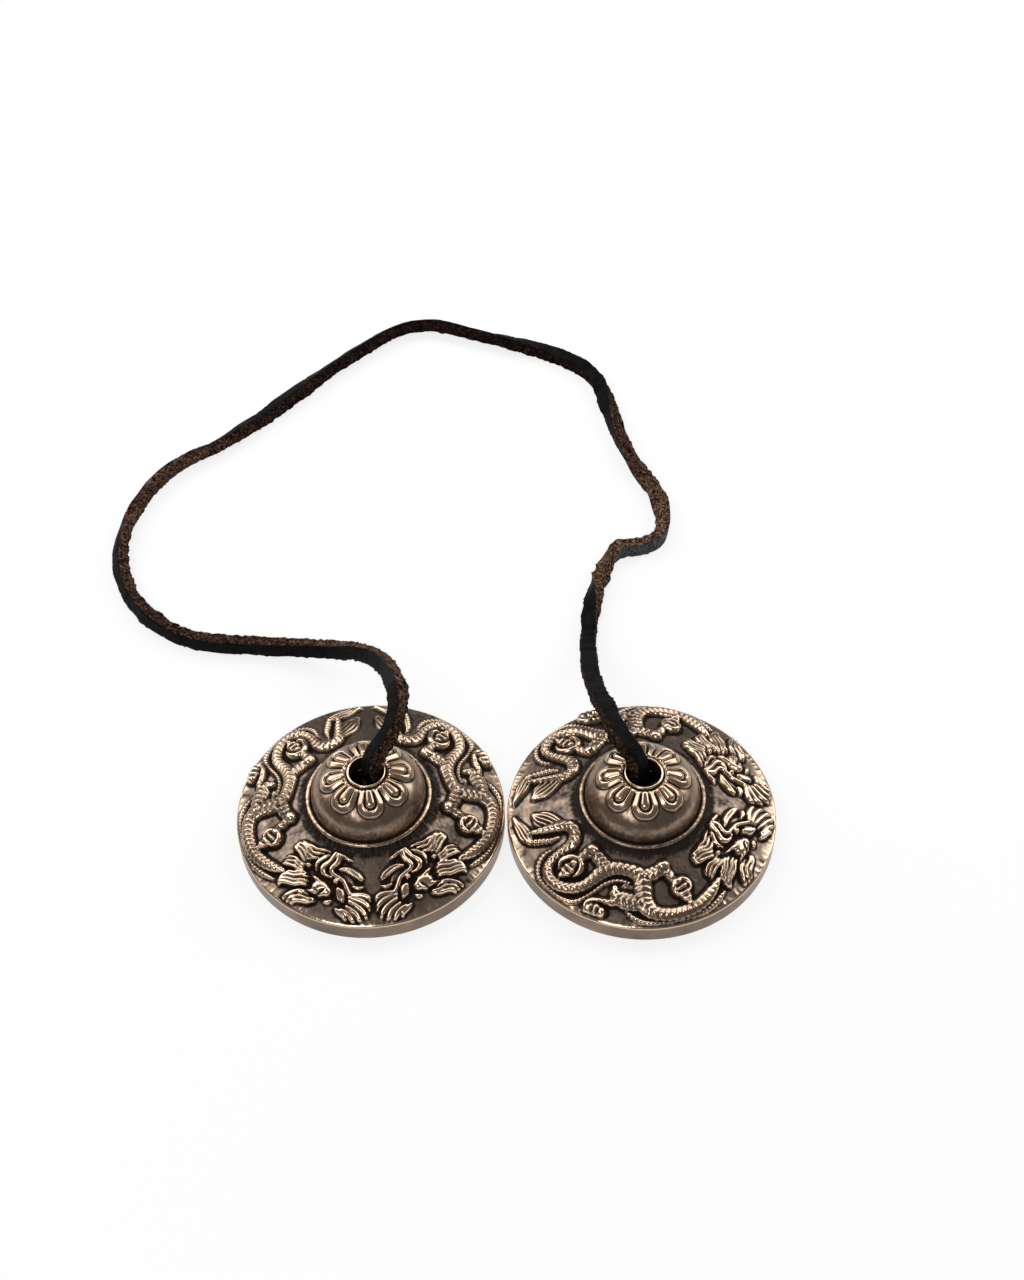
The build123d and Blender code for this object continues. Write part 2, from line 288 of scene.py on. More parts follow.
# Mane: five locks, strand by strand, from the rim inwards
for strand in (
    [(27.6, .815, 0.7), (30, .865, 1.1), (33, .89, 1.1), (35.5, .92, 1.1), (36.6, .975, 0.8)],
    [(28.2, .79, 0.7), (30.8, .825, 1.1), (33.6, .83, 1.1), (36, .86, 1.1), (37.8, .915, 1.2),
     (38.6, .98, 0.9)],
    [(31, .77, 0.4), (33.5, .77, 0.7), (36, .80, 0.9)],
    [(34.5, .745, 0.7), (36.8, .785, 1.2), (38.8, .845, 1.3), (40.2, .91, 1.2), (40.8, .975, 0.9)],
    [(35, .665, 0.8), (37.5, .685, 1.1), (40.5, .745, 1.2), (44, .775, 1.2), (46.3, .815, 1.1),
     (47, .875, 0.6)],
    [(35.3, .61, 0.8), (38, .63, 1.1), (41.5, .695, 1.2), (44.8, .73, 1.2), (47.4, .785, 1.1),
     (48, .85, 0.6)],
    [(36.6, .555, 0.8), (39.3, .575, 1.1), (42.8, .645, 1.2), (46, .685, 1.2), (48.2, .745, 1.0),
     (48.6, .80, 0.6)],
    [(38.6, .52, 0.7), (41, .545, 1.0), (44, .605, 1.1), (46.6, .64, 1.0), (48.3, .70, 0.6)],
    [(40.8, .505, 0.7), (43.5, .54, 1.0), (46.5, .54, 1.05), (49.5, .575, 1.05), (52, .61, 0.9),
     (53, .635, 0.5)],
    [(41.6, .47, 0.7), (44.5, .495, 1.05), (48, .49, 1.05), (51, .535, 1.05), (53.3, .58, 0.6)],
    [(42, .43, 0.7), (45, .45, 1.05), (49, .44, 1.05), (52.3, .485, 1.0), (54, .54, 0.6)],
    [(42.3, .385, 0.7), (44.5, .385, 1.1), (47.5, .36, 1.1), (51, .345, 1.1), (54, .345, 1.0),
     (56, .325, 0.6)],
    [(40.8, .34, 0.7), (43.5, .335, 1.1), (46.5, .305, 1.1), (50, .29, 1.1), (53.5, .30, 1.1),
     (56.3, .28, 0.6)],
    [(36.8, .25, 0.7), (39.5, .285, 1.1), (43, .285, 1.1), (47, .25, 1.1), (50.5, .235, 1.1),
     (54, .25, 1.0), (56, .24, 0.6)],
    [(34.6, .165, 0.6), (38, .20, 1.0), (42, .23, 1.1), (46, .21, 1.1), (51, .195, 1.0), (54.5, .205, 0.5)],
    [(31, .105, 0.5), (36, .12, 0.9), (41, .16, 1.0), (46, .165, 0.9), (50, .17, 0.4)],
):
    dragon.lay(strand, 1.5, flat=2.5)

# Tail: two fins with ribs, and a tuft along its back
for fin, count in (
    ([(159.5, .80, 1.6), (163, .815, 3.4), (168, .86, 3.2), (173, .915, 1.8), (176.3, .945, 0.5)], 4),
    ([(159, .24, 1.4), (162.5, .35, 3.8), (166.5, .46, 5.0), (170.5, .56, 4.6), (173.8, .65, 1.4)], 5),
):
    dragon.lay(fin, 1.2, flat=3, finish=strands(count))
dragon.lay([
    (153.3, .40, 0.7), (154.3, .52, 1.6), (156.5, .63, 1.9), (158.5, .74, 1.9), (160.5, .85, 0.9),
], 1.1, finish=ribs)

half_relief = dragon.height.reshape(band_rows, -1)
relief = np.concatenate([half_relief, half_relief[:, -2:0:-1]], 1)
relief *= ease(rim_radius - 0.55, rim_radius - 0.9, dragon.radius)[:, None]
relief *= ease(collar_radius, collar_radius + 0.4, dragon.radius)[:, None]
relief = soften(relief, 1)


def petals(radius, turn):
    """Height of the lotus over the dome: an arched rim round each petal, a groove, and a tongue inside."""
    pitch = 2 * np.pi / petal_count
    beside = np.abs((turn + pitch / 2) % pitch - pitch / 2)

    def inside(half, end, corner):
        """Depth within an arch of a half width, an end and rounded corners, in radians at its radius."""
        side = corner - (half - beside)
        tip = corner - 0.92 * (end - radius) / radius
        beyond = np.hypot(np.maximum(side, 0), np.maximum(tip, 0))
        return corner - beyond - np.minimum(np.maximum(side, tip), 0)

    edge = inside(petal_half, petal_end, petal_corner)
    groove = inside(groove_half, petal_end - 1.4, groove_half)
    rim = ease(0.0, 0.03, edge) * (0.45 + 0.45 * ease(0.0, 0.17, edge)) * ease(0.03, -0.01, groove)
    side_fall = np.clip(1 - inside(tongue_half, petal_end - 1.8, tongue_half) / 0.12, 0, 1)
    tongue = 1.05 * np.clip(1 - side_fall ** 2, 0, 1) ** 0.5
    root = 0.60 * ease(petal_start + 1.2, petal_start + 0.5, radius)
    return np.maximum(np.maximum(rim, tongue), root) * ease(petal_start - 0.1, petal_start + 0.4, radius)


def dome(radius):
    """Height of the boss, from its foot up to the crown."""
    share = (1 - (radius / dome_radius) ** dome_fullness) ** (1 / dome_fullness)
    return dome_foot + (crown - dome_foot) * share


def casting(petal_turn, tooling, seed):
    """Courses of one cymbal's closed section, from the bore over the boss and rim and back underneath."""
    dice = np.random.default_rng(seed)
    courses = []

    def course(points, count, lift=0.0, polish_and_painted_light=0.5):
        """Rings along a stretch of the section, with what stands up on them, and their polish with painted
        shade and highlights in it.
        """
        points = np.array(points, float)
        shape = (len(points), count)
        courses.append((points, np.broadcast_to(lift, shape), np.broadcast_to(polish_and_painted_light, shape)))

    # Bore, and the bright lip round it
    bore = [(bore_radius, height) for height in np.linspace(ceiling, casting_top - 0.35, 5)]
    course(bore, turns, polish_and_painted_light=0.12)
    arch = np.radians([165, 130, 95, 60, 25])
    middle = (bore_radius + lip_radius) / 2
    half = (lip_radius - bore_radius) / 2
    lip = np.stack([middle + half * np.cos(arch), casting_top - 0.3 + 0.3 * np.sin(arch)], 1)
    course(lip, turns, polish_and_painted_light=0.9)
    lip_foot = [(lip_radius + 0.02, casting_top - 0.55), (lip_radius + 0.08, dome(lip_radius))]
    course(lip_foot, turns, polish_and_painted_light=0.1)

    # Boss: polished petals with painted highlights on their crests, grooves dark with wax and painted shade,
    # and a scraped stretch round its foot darkened with painted shade
    lean = np.radians(np.linspace(20.4, 88.5, 44))
    radius = dome_radius * np.sin(lean)
    angle = np.arange(turns) * 2 * np.pi / turns - math.radians(petal_turn)
    lotus = petals(radius[:, None], angle[None, :])
    # valley darkens the petals' grooves and edges: dark wax, and painted shade
    valley = ease(0.03, 0.26, soften(lotus, 7) - lotus)
    # crest paints highlights on the petal tops and shade in their dips, over the real polish
    crest = lotus - soften(lotus, 6)
    cast_skin = mottle(dice, lotus.shape, 6)
    shine = 0.48 + 0.16 * ease(0.3, 0.7, lotus) + 0.6 * crest - 0.60 * valley + 0.025 * cast_skin
    # The foot of the boss is made darker: painted shade, with real scrape marks in it
    scrape = mottle(dice, lotus.shape, 1)
    shine -= (0.14 + 0.05 * scrape) * ease(12.6, 13.7, radius)[:, None]
    lift = lotus + 0.020 * cast_skin * ease(0.3, 0.0, lotus)
    course(np.stack([radius, dome(radius)], 1), turns, lift, np.clip(shine, 0, 1))

    # Nicked ring round the boss in a trough darkened with painted shade, and the tooled collar outside it,
    # dark from its tooling and from painted shade
    nicks = mottle(dice, (1, turns), 2)
    # The trough's darkness is painted shade
    trough = [(13.85, 12.15), (14.0, 12.05), (14.1, 12.1)]
    course(trough, turns, polish_and_painted_light=0.08)
    arch = np.radians([165, 135, 105, 75, 45, 15])
    ring = np.stack([ring_radius + ring_half * np.cos(arch), ring_base + ring_rise * np.sin(arch)], 1)
    course(ring, turns, 0.02 * nicks, np.clip(0.44 + 0.16 * tooling + 0.06 * nicks, 0, 1))
    # The collar's low polish is partly its tooled surface and partly painted shade
    collar = [(15.2, 12.2), (15.35, 12.0), (15.55, 11.75), (15.8, 11.5), (16.1, 11.25)]
    tooled = tooling * mottle(dice, (1, turns), 0)
    course(collar, turns, 0.04 * tooled, np.clip(0.08 + 0.06 * tooled, 0, 1))

    # Plate with the dragons: buffed where they stand up, most of all at the heads, with painted highlights
    # on their crests, and dark beside them from wax and painted shade
    radius = dragon.radius
    height = rim_height + (rim_radius - radius) * slope
    rough = mottle(dice, relief.shape, 3)
    blotch = mottle(dice, relief.shape, 60)
    scrape = mottle(dice, (1, fine_turns), 1)
    # crest is the relief above its surroundings: it paints highlights on ridge tops and shade in the dips,
    # over the real buffing
    crest = relief - soften(relief, 20)
    from_heads = 180 - np.abs(np.arange(fine_turns) * 360 / fine_turns - 180)
    at_head = ease(62, 48, from_heads)
    # hollow darkens the plate round the foot of the relief: dark wax, and painted shade there too
    hollow = ease(0.03, 0.24, soften(relief, 11) - relief)
    raised = ease(0.25, 0.75, relief)
    shine = 0.34 + 0.04 * rough + 0.05 * blotch - 0.42 * hollow
    rim_wear = ease(rim_radius - 2.6, rim_radius - 0.6, radius)[:, None]
    shine += rim_wear * (0.18 + 0.12 * scrape) * (1 - raised)
    # The plate just outside the collar is darkened: painted shade in that corner, with real scrape marks in
    # it
    collar_foot_shade = ease(collar_radius + 1.4, collar_radius + 0.3, radius)[:, None]
    shine -= collar_foot_shade * (0.24 + 0.03 * scrape)
    # groove darkens the grooves within the relief: dark wax, and painted shade
    groove = ease(0.01, 0.14, soften(relief, 5) - relief)
    buffed_and_painted_light = 0.45 + 0.10 * at_head + 1.2 * crest - 0.40 * groove + 0.04 * blotch
    shine = shine * (1 - raised) + raised * buffed_and_painted_light
    lift = relief + (0.010 * rough + 0.03 * rim_wear * scrape + 0.01 * collar_foot_shade * scrape) * (1 - raised)
    course(np.stack([radius, height], 1), fine_turns, lift, np.clip(shine, 0, 1))

    # Turned rim: a bright rounded edge, the wall, and the flat foot that it rests on
    arch = np.radians([75, 45, 15])
    edge_radius = rim_radius - upper_edge + upper_edge * np.cos(arch)
    edge_height = rim_height - 0.30 + upper_edge * np.sin(arch)
    course(np.stack([edge_radius, edge_height], 1), turns, polish_and_painted_light=0.85)
    wall = np.linspace(rim_height - 0.8, 0.6, 7)
    streak = mottle(dice, (len(wall), turns), 12)
    course(np.stack([np.full(len(wall), rim_radius), wall], 1), turns, 0.004 * streak, 0.385 + 0.02 * streak)
    arch = np.radians([-20, -50, -80])
    edge_radius = rim_radius - lower_edge + lower_edge * np.cos(arch)
    edge_height = lower_edge + lower_edge * np.sin(arch)
    course(np.stack([edge_radius, edge_height], 1), turns, polish_and_painted_light=0.7)
    foot_inner = rim_radius - foot_width
    foot = [(rim_radius - 1.5, 0.0), (foot_inner + 1.0, 0.0), (foot_inner + 0.2, 0.05)]
    course(foot, turns, polish_and_painted_light=0.6)

    # Underside: the plate with turning marks, then the hollow of the boss up to its ceiling
    under = np.linspace(foot_inner - 0.1, hollow_radius + 0.5, 10)
    cut = np.where(np.arange(len(under)) % 2, 0.04, 0.0)[:, None]
    inner_face = rim_height + (rim_radius - under) * slope - plate_thickness
    under_polish = 0.38 + 0.04 * mottle(dice, (len(under), turns), 3)
    course(np.stack([under, inner_face], 1), turns, cut, under_polish)
    mouth = rim_height + (rim_radius - hollow_radius) * slope - plate_thickness
    boss_hollow = [
        (hollow_radius, mouth + 0.4), (hollow_radius, mouth + 2.0),
        (hollow_radius, ceiling - hollow_chamfer), (hollow_radius - hollow_chamfer, ceiling),
        (6.0, ceiling), (bore_radius + 0.3, ceiling),
    ]
    course(boss_hollow, turns, polish_and_painted_light=0.2)
    return courses


def store(mesh, name, values):
    """A value for each corner of a mesh, under a name that its material reads."""
    mesh.attributes.new(name, "FLOAT", "POINT").data.foreach_set("value", values.astype(np.float32))


def add_object(name, data):
    """A mesh, lamp or camera put in the scene."""
    made = bpy.data.objects.new(name, data)
    bpy.context.scene.collection.objects.link(made)
    return made


def skin(name, courses, heads, offset):
    """A closed mesh through a casting's courses, turned to where its heads meet and set to one side."""
    section = np.concatenate([points for points, _, _ in courses])
    ahead = np.roll(section, -1, 0) - np.roll(section, 1, 0)
    outward = np.stack([-ahead[:, 1], ahead[:, 0]], 1)
    outward /= np.linalg.norm(outward, axis=1)[:, None]
    step = np.linalg.norm(np.diff(section, axis=0, append=section[:1]), axis=1)
    down = np.concatenate([[0], np.cumsum(step)]) / step.sum()

    lifts = [row for _, lift, _ in courses for row in lift]
    polish_and_painted_light = np.concatenate([row for _, _, shine in courses for row in shine])
    corners = []
    starts = [0]
    for (radius, height), (out, up), lift in zip(section, outward, lifts):
        angle = np.arange(len(lift)) * 2 * np.pi / len(lift) + math.radians(heads)
        reach = radius + lift * out
        circle = [offset + reach * np.cos(angle), reach * np.sin(angle), height + lift * up]
        corners.append(np.stack(circle, 1))
        starts.append(starts[-1] + len(lift))
    faces = []
    unwrapped = []
    for ring, lift in enumerate(lifts):
        after = (ring + 1) % len(lifts)
        here, there = len(lift), len(lifts[after])
        low, high = down[ring], down[ring + 1]
        coarse = min(here, there)
        for place in range(coarse):
            ends = []
            for count, start in ((here, starts[ring]), (there, starts[after])):
                share = count // coarse
                span = range(place * share, place * share + share + 1)
                ends.append([(start + spot % count, spot / count) for spot in span])
            loop = [(corner, turn, low) for corner, turn in ends[0]]
            loop += [(corner, turn, high) for corner, turn in reversed(ends[1])]
            faces.append([corner for corner, _, _ in loop][::-1])
            unwrapped += [value for _, turn, height in loop[::-1] for value in (turn, height)]
    mesh = bpy.data.meshes.new(name)
    mesh.from_pydata(np.concatenate(corners) * mm, [], faces)
    store(mesh, "polish_and_painted_light", polish_and_painted_light)
    mesh.uv_layers.new(name="OFBake").data.foreach_set("uv", np.array(unwrapped, np.float32))
    mesh.shade_smooth()
    return add_object(name, mesh)


def add_node(tree, kind, **values):
    """A shader node, with its settings by name and its inputs by name with spaces as underscores."""
    made = tree.nodes.new(kind)
    for name, value in values.items():
        socket = made.inputs.get(name.replace("_", " "))
        if socket is not None and not hasattr(made, name):
            socket.default_value = value
        else:
            setattr(made, name, value)
    return made


def ramp(tree, source, stops):
    """A colour ramp fed by a socket, from (place, colour) pairs."""
    made = add_node(tree, "ShaderNodeValToRGB")
    while len(made.color_ramp.elements) < len(stops):
        made.color_ramp.elements.new(1.0)
    for element, (place, colour) in zip(made.color_ramp.elements, stops):
        element.position = place
        element.color = (*colour, 1.0)
    tree.links.new(source, made.inputs[0])
    return made.outputs["Color"]


def value_ramp(tree, source, stops):
    """A ramp of plain values, from (place, value) pairs."""
    return ramp(tree, source, [(place, (value,) * 3) for place, value in stops])


bronze = bpy.data.materials.new("waxed_bronze")
bronze.use_nodes = True
tree = bronze.node_tree
shader = tree.nodes["Principled BSDF"]
place = add_node(tree, "ShaderNodeTexCoord")
# The attribute read here sets dark wax against polished bronze, and also carries painted shade and painted
# highlights
polish_and_painted_light = add_node(tree, "ShaderNodeAttribute", attribute_name="polish_and_painted_light")
pits = add_node(tree, "ShaderNodeTexNoise", Scale=2600.0, Detail=3.0, Roughness=0.6)
cloud = add_node(tree, "ShaderNodeTexNoise", Scale=420.0, Detail=4.0, Roughness=0.6)
for noise in (pits, cloud):
    tree.links.new(place.outputs["Object"], noise.inputs["Vector"])
spread = add_node(tree, "ShaderNodeMath", operation="MULTIPLY_ADD")
spread.inputs[1].default_value = 0.12
tree.links.new(cloud.outputs["Fac"], spread.inputs[0])
shifted = add_node(tree, "ShaderNodeMath", operation="SUBTRACT")
tree.links.new(polish_and_painted_light.outputs["Fac"], shifted.inputs[0])
shifted.inputs[1].default_value = 0.06
tree.links.new(shifted.outputs[0], spread.inputs[2])
level = spread.outputs[0]
tree.links.new(ramp(tree, level, [
    (0.00, (0.008, 0.005, 0.003)), (0.16, (0.042, 0.029, 0.022)), (0.34, (0.160, 0.120, 0.095)),
    (0.55, (0.36, 0.255, 0.180)), (0.85, (0.74, 0.55, 0.39)),
]), shader.inputs["Base Color"])
tree.links.new(value_ramp(tree, level, [(0.0, 0.75), (0.3, 0.38), (0.5, 0.28), (0.85, 0.15)]),
               shader.inputs["Roughness"])
tree.links.new(value_ramp(tree, level, [(0.0, 0.3), (0.3, 0.9), (0.6, 1.0)]), shader.inputs["Metallic"])
shader.inputs["Specular IOR Level"].default_value = 0.2
bump = add_node(tree, "ShaderNodeBump", Strength=0.25, Distance=0.00006)
tree.links.new(pits.outputs["Fac"], bump.inputs["Height"])
tree.links.new(bump.outputs["Normal"], shader.inputs["Normal"])

for side, centre, heads, petal_turn, tooling, seed in (("left", -pair_offset, left_heads, 5, 1.0, 3),
                                                       ("right", pair_offset, right_heads, 0, 0.3, 8)):
    piece = skin(f"{side}_casting", casting(petal_turn, tooling, seed), heads, centre)
    piece.data.materials.append(bronze)
    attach(piece, f"{side}_cymbal")
    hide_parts(f"cymbal_{side}")

# The thong
# One strip cut from thick hide: a smooth grain side dyed black, and brown suede on the other three sides. It
# runs from a knot under one crown to a knot under the other, and twists as it lies.
thong_width = 0.0041     # across the grain side
thong_depth = 0.0035
lying = 0.002            # height of the route where it lies on the table
route = [
    (-0.03181, 0.00099, 0.0175), (-0.03181, 0.00099, 0.0255), (-0.0274, 0.0042, 0.0293),
    (-0.0248, 0.0133, 0.0310), (-0.0277, 0.0264, 0.0265), (-0.0352, 0.0415, 0.0155),
    (-0.0464, 0.0505, 0.0050), (-0.0631, 0.0538, lying), (-0.0842, 0.0550, lying),
    (-0.0999, 0.0660, lying), (-0.1080, 0.0848, lying), (-0.1054, 0.1046, lying),
    (-0.0964, 0.1202, lying), (-0.0819, 0.1291, lying), (-0.0639, 0.1495, lying),
    (-0.0473, 0.1671, lying), (-0.0303, 0.1816, lying), (-0.0089, 0.1734, lying),
    (0.0139, 0.1662, lying), (0.0243, 0.1572, lying), (0.0283, 0.1382, lying),
    (0.0342, 0.1196, lying), (0.0407, 0.1098, lying), (0.0421, 0.0945, lying),
    (0.0358, 0.0888, lying), (0.0279, 0.0893, lying), (0.0226, 0.0750, lying),
    (0.0205, 0.0596, 0.0030), (0.0202, 0.0448, 0.0090), (0.0213, 0.0295, 0.0170),
    (0.0241, 0.0173, 0.0245), (0.0271, 0.0056, 0.0283), (0.03181, 0.00099, 0.0255),
    (0.03181, 0.00099, 0.0175),
]
# How far the grain side is turned, in degrees from facing up to facing left, by metres along the thong
twist = [
    (0.000, 40), (0.010, 45), (0.022, 43), (0.040, 48), (0.060, 50), (0.075, 54), (0.090, 61),
    (0.110, 66), (0.125, 61), (0.140, 53), (0.150, 50), (0.158, 64), (0.164, 80), (0.180, 80),
    (0.198, 66), (0.208, 50), (0.220, 32), (0.235, 42), (0.245, 56), (0.255, 53), (0.265, 58),
    (0.280, 68), (0.298, 66), (0.305, 54), (0.312, 39), (0.320, 24), (0.330, 11), (0.340, -6),
    (0.346, -30), (0.350, -53), (0.356, -69), (0.362, -85), (0.370, -96), (0.376, -130),
    (0.384, -180), (0.391, -235), (0.395, -257), (0.400, -267), (0.405, -288), (0.410, -302),
    (0.414, -298), (0.418, -274), (0.421, -262), (0.425, -190), (0.428, -110), (0.430, -78),
    (0.433, -61), (0.436, -41), (0.440, -22), (0.446, -9), (0.455, -2), (0.470, 0), (0.485, 5),
    (0.495, 9), (0.505, 24), (0.515, 32), (0.520, 32),
]
# How far the dye has worn off the suede, from 0 to 1, by metres along the thong; from 0.75 up it also greys
# the grain side, as rubbed leather and as painted sheen
wear = [
    (0.000, 0.30), (0.020, 0.40), (0.030, 0.78), (0.070, 0.72), (0.085, 0.36), (0.130, 0.28), (0.165, 0.55),
    (0.195, 0.58), (0.210, 0.15), (0.250, 0.00), (0.300, 0.02), (0.340, 0.05), (0.355, 0.34), (0.375, 0.54),
    (0.395, 0.93), (0.428, 0.90), (0.445, 0.50), (0.465, 0.20), (0.500, 0.25), (0.520, 0.30),
]


def along_route(points, spacing):
    """Evenly spaced places on the smooth line that a route's points steer."""
    line = bpy.data.curves.new("route", "CURVE")
    line.dimensions = "3D"
    line.resolution_u = 32
    spline = line.splines.new("NURBS")
    spline.points.add(len(points) - 1)
    for handle, place in zip(spline.points, points):
        handle.co = (*place, 1.0)
    spline.order_u = 3
    spline.use_endpoint_u = True
    carrier = bpy.data.objects.new("route", line)
    drawn = bpy.data.meshes.new_from_object(carrier)
    places = np.array([corner.co for corner in drawn.vertices])
    bpy.data.meshes.remove(drawn)
    bpy.data.objects.remove(carrier)
    bpy.data.curves.remove(line)
    passed = np.concatenate([[0], np.cumsum(np.linalg.norm(np.diff(places, axis=0), axis=1))])
    even = np.linspace(0, passed[-1], int(passed[-1] / spacing) + 1)
    return even, np.stack([np.interp(even, passed, axis) for axis in places.T], 1)


def strip_section(width, depth, count, corner=0.28):
    """Outline of the strip, (across, towards the grain side), and how much of each point is grain side."""
    turn = np.arange(count) * 2 * np.pi / count + np.pi / count
    across = np.sign(np.cos(turn)) * np.abs(np.cos(turn)) ** corner * width / 2
    towards = np.sign(np.sin(turn)) * np.abs(np.sin(turn)) ** corner * depth / 2
    grain = ease(0.80, 0.93, towards / (depth / 2)) * ease(1.0, 0.90, np.abs(across) / (width / 2))
    return np.stack([across, towards], 1), grain


def strip_map(count, around, hairs):
    """Flat map of a strip for baking: its length in eight columns, its ends, and a cell for each fibre."""
    columns = 8
    per_column = -(-(count - 1) // columns)
    column, row = np.divmod(np.repeat(np.arange(count - 1), around), per_column)
    spot = np.tile(np.arange(around), count - 1)
    across = (column[:, None] + (spot[:, None] + np.array([0, 1, 1, 0])) / around * 0.97) * 0.94 / columns
    down = (row[:, None] + np.array([0, 0, 1, 1])) / per_column
    flat = [np.stack([across, down], -1).reshape(-1, 2)]
    turn = np.arange(around) * 2 * np.pi / around
    end = 0.005 * np.stack([np.cos(turn), np.sin(turn)], 1)
    flat += [end + (0.95, 0.01), end + (0.95, 0.03)]
    column, row = np.divmod(np.tile(np.arange(hairs), 4), 200)
    cell = np.stack([0.96 + column / 800, row / 200], 1)
    flat.append((cell[:, None, :] + np.array([(0, 0), (0.001, 0), (0, 0.004)])).reshape(-1, 2))
    return np.concatenate(flat).astype(np.float32).ravel()


def strip_mesh(name, places, turned, worn, width, depth, around, seed, hairs, rest_on_table):
    """A strip of leather along places, by how its grain side turns and its suede is worn, with fibres."""
    dice = np.random.default_rng(seed)
    ahead = np.gradient(places, axis=0)
    ahead /= np.linalg.norm(ahead, axis=1)[:, None]
    leaning_up = np.array([0, -0.35, 1.0])
    left = np.cross(leaning_up, ahead)
    left /= np.linalg.norm(left, axis=1)[:, None]
    up = np.cross(ahead, left)
    facing = up * np.cos(turned)[:, None] + left * np.sin(turned)[:, None]
    sideways = np.cross(facing, ahead)
    outline, grain = strip_section(width, depth, around)
    count = len(places)
    swell = 1 + 0.035 * mottle(dice, (count, around), 30)
    nap = mottle(dice, (count, around), 1)
    lump = mottle(dice, (count, around), 5)
    crease = np.abs(mottle(dice, (count, 1), 2)) * np.ones(around)
    grain = np.clip(grain + 0.30 * lump * (grain > 0.02) * (grain < 0.98), 0, 1)
    lift = (1 - grain) * (0.00009 * nap + 0.00007 * lump) - grain * 0.00009 * ease(1.1, 2.2, crease)
    scale = swell + lift / (0.5 * depth)
    across = outline[:, 0] * scale
    towards = outline[:, 1] * scale
    rings = across[:, :, None] * sideways[:, None, :] + towards[:, :, None] * facing[:, None, :]
    middle = places.copy()
    if rest_on_table:
        settle = -rings[:, :, 2].min(1) - lying
        settle = np.convolve(np.pad(settle, 6, "edge"), np.ones(13) / 13, "valid")
        middle[:, 2] += settle * ease(0.012, 0.003, places[:, 2])
    corners = middle[:, None, :] + rings
    index = np.arange(count * around).reshape(count, around)
    following = np.roll(index, -1, 1)
    faces = np.stack([index[:-1], following[:-1], following[1:], index[1:]], -1).reshape(-1, 4).tolist()
    faces += [index[0, ::-1].tolist(), index[-1].tolist()]

    # Loose fibres: thin spikes with a three-sided foot sunk in the suede
    suede = np.argwhere(grain < 0.3)
    ring, spot = suede[dice.integers(0, len(suede), hairs)].T
    root = corners[ring, spot]
    out = rings[ring, spot] / np.linalg.norm(rings[ring, spot], axis=1)[:, None]
    aside = np.cross(out, ahead[ring])
    lean = dice.normal(0, 0.8, (2, hairs, 1))
    reach = out + lean[0] * ahead[ring] + lean[1] * aside
    reach *= (dice.uniform(0.25, 0.75, hairs) * mm / np.linalg.norm(reach, axis=1))[:, None]
    feet = [root - 0.12 * mm * out + 0.05 * mm * (math.cos(turn) * aside + math.sin(turn) * ahead[ring])
            for turn in (0.0, 2.1, 4.2)]
    spikes = np.stack(feet + [root + reach], 1)
    first = count * around + 4 * np.arange(hairs)
    for trio in ((0, 1, 3), (1, 2, 3), (2, 0, 3), (0, 2, 1)):
        faces += np.stack([first + corner for corner in trio], 1).tolist()
    corners = np.concatenate([corners.reshape(-1, 3), spikes.reshape(-1, 3)])
    grain = np.concatenate([grain.ravel(), np.zeros(4 * hairs)])
    worn = np.concatenate([np.repeat(worn, around), np.repeat(worn[ring], 4)])
    if rest_on_table:
        corners[:, 2] = np.maximum(corners[:, 2], 0.00002)
    mesh = bpy.data.meshes.new(name)
    mesh.from_pydata(corners, [], faces)
    store(mesh, "grain", grain)
    store(mesh, "worn", worn)
    mesh.uv_layers.new(name="OFBake").data.foreach_set("uv", strip_map(count, around, hairs))
    mesh.shade_smooth()
    return add_object(name, mesh), middle


metres, places = along_route(route, 0.00045)
turned = np.radians(np.interp(metres, *np.array(twist).T))
turned = np.convolve(np.pad(turned, 5, "edge"), np.ones(11) / 11, "valid")
worn = np.interp(metres, *np.array(wear).T)
thong, thong_path = strip_mesh("thong", places, turned, worn, thong_width, thong_depth, around=28, seed=21,
                               hairs=3000, rest_on_table=True)


def mix(tree, share, first, second):
    """Two colours mixed by a share of the second."""
    made = add_node(tree, "ShaderNodeMix", data_type="RGBA")
    tree.links.new(share, made.inputs["Factor"])
    tree.links.new(first, made.inputs["A"])
    tree.links.new(second, made.inputs["B"])
    return made.outputs["Result"]


leather = bpy.data.materials.new("hide")
leather.use_nodes = True
tree = leather.node_tree
shader = tree.nodes["Principled BSDF"]
shader.inputs["Specular IOR Level"].default_value = 0.04
place = add_node(tree, "ShaderNodeTexCoord")
grain = add_node(tree, "ShaderNodeAttribute", attribute_name="grain")
worn = add_node(tree, "ShaderNodeAttribute", attribute_name="worn")
fibre = add_node(tree, "ShaderNodeTexNoise", Scale=640.0, Detail=5.0, Roughness=0.65, Distortion=2.6)
patch = add_node(tree, "ShaderNodeTexNoise", Scale=420.0, Detail=4.0)
for noise in (fibre, patch):
    tree.links.new(place.outputs["Object"], noise.inputs["Vector"])
dyed = ramp(tree, fibre.outputs["Fac"], [
    (0.38, (0.0020, 0.0014, 0.0012)), (0.52, (0.008, 0.0044, 0.0034)), (0.68, (0.060, 0.031, 0.020)),
])
bare = ramp(tree, fibre.outputs["Fac"], [
    (0.40, (0.006, 0.0030, 0.0022)), (0.50, (0.050, 0.0250, 0.0160)), (0.62, (0.290, 0.172, 0.112)),
])
suede = mix(tree, worn.outputs["Fac"], dyed, bare)
black = ramp(tree, patch.outputs["Fac"], [
    (0.35, (0.0020, 0.0018, 0.0019)), (0.65, (0.0075, 0.0069, 0.0071)),
])
